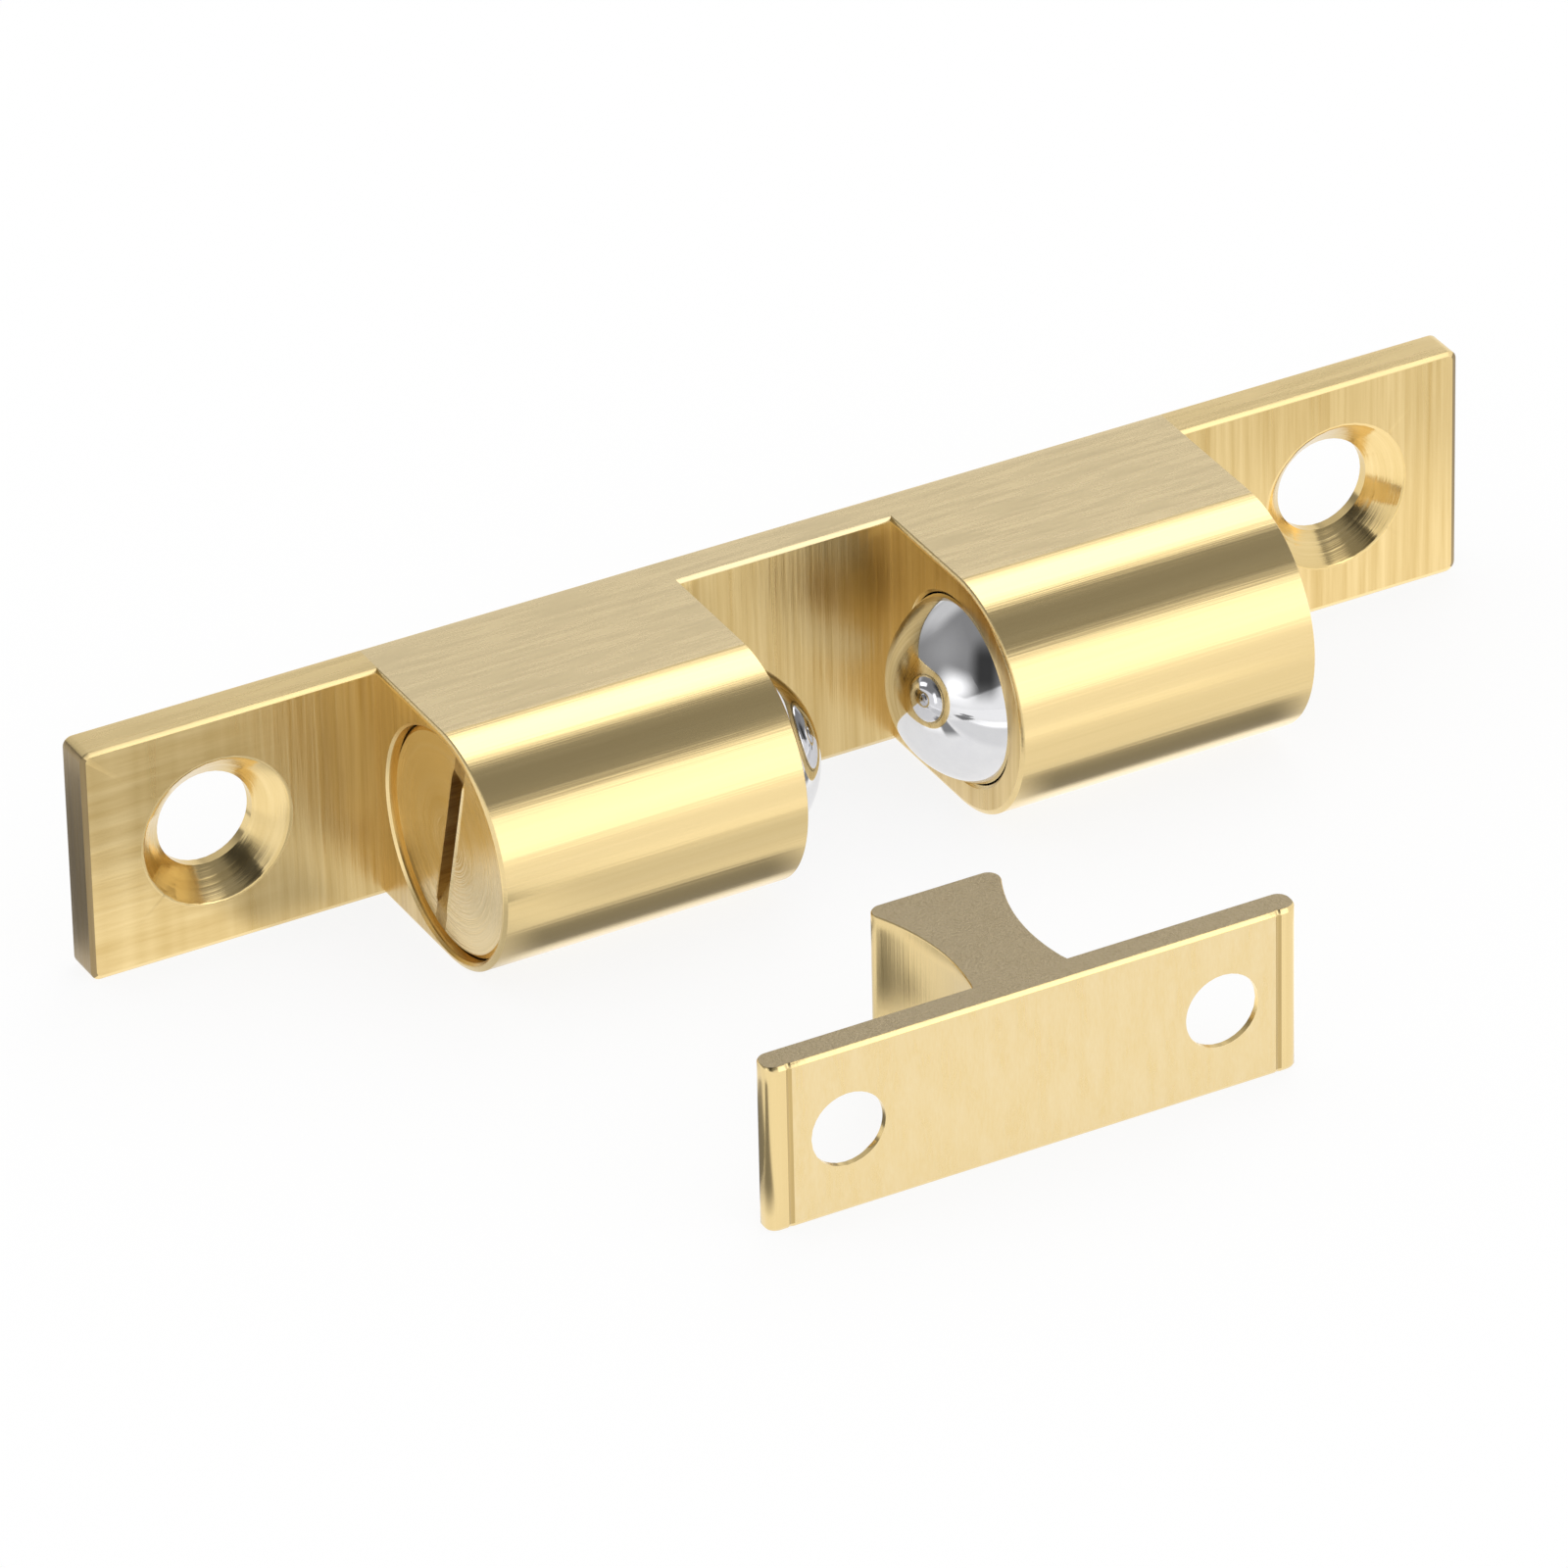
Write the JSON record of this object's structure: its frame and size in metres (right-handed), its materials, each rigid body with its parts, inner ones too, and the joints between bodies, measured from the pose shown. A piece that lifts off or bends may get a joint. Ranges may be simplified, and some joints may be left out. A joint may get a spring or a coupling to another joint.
{
  "type": "ball catch",
  "caption": "Brass ball catch for cabinet doors: a plate with spring-loaded balls facing each other in bored barrels, and a strike whose waisted prong snaps between them.",
  "frame": {"origin": "middle of the case's mounting face", "axes": "+X along the case, +Y out of the mounting face into the cabinet, +Z across the case, up as it stands on its long side"},
  "size_m": [0.06, 0.0297, 0.01],
  "materials": {
    "case_brass": "drawn and milled, uncoated",
    "screw_brass": "turned, uncoated",
    "strike_brass": "drawn and sawn, uncoated",
    "ball_steel": "mirror polished",
    "spring_steel": "drawn wire"
  },
  "bodies": {
    "case": {"case": "case_brass"},
    "left_ball": {"left_ball": "ball_steel"},
    "right_ball": {"right_ball": "ball_steel"},
    "left_spring": {"left_spring": "spring_steel"},
    "right_spring": {"right_spring": "spring_steel"},
    "left_adjusting_screw": {"left_adjusting_screw": "screw_brass"},
    "right_adjusting_screw": {"right_adjusting_screw": "screw_brass"},
    "strike": {"strike": "strike_brass"}
  },
  "joints": [
    {"name": "left_ball_slide", "type": "slide", "parent": "case", "child": "left_ball", "axis": [-1, 0, 0], "range_m": [0, 0.00225], "stiffness_N_per_m": 1900, "springref_m": -0.0015, "deforming": ["left_spring"]},
    {"name": "right_ball_slide", "type": "slide", "parent": "case", "child": "right_ball", "axis": [1, 0, 0], "range_m": [0, 0.00225], "stiffness_N_per_m": 1900, "springref_m": -0.0015, "deforming": ["right_spring"]},
    {"name": "left_screw_feed", "type": "slide", "parent": "case", "child": "left_spring", "axis": [1, 0, 0], "range_m": [0, 0.00075], "deforming": ["left_spring"]},
    {"name": "left_screw_turn", "type": "hinge", "parent": "left_spring", "child": "left_adjusting_screw", "pos_m": [-0.0176, -0.0068, 0], "axis": [1, 0, 0], "range_deg": [0, 360], "deforming": ["left_spring"]},
    {"name": "right_screw_feed", "type": "slide", "parent": "case", "child": "right_spring", "axis": [-1, 0, 0], "range_m": [0, 0.00075], "deforming": ["right_spring"]},
    {"name": "right_screw_turn", "type": "hinge", "parent": "right_spring", "child": "right_adjusting_screw", "pos_m": [0.0176, -0.0068, 0], "axis": [-1, 0, 0], "range_deg": [0, 360], "deforming": ["right_spring"]},
    {"name": "strike_approach", "type": "slide", "parent": "case", "child": "strike", "axis": [0.3708, 0.9225, 0.1075], "range_m": [0, 0.01349]}
  ],
  "couplings": [
    {"joint": "left_screw_turn", "follows": "left_screw_feed", "rad_per_m": 8377.6},
    {"joint": "right_screw_turn", "follows": "right_screw_feed", "rad_per_m": 8377.6}
  ]
}
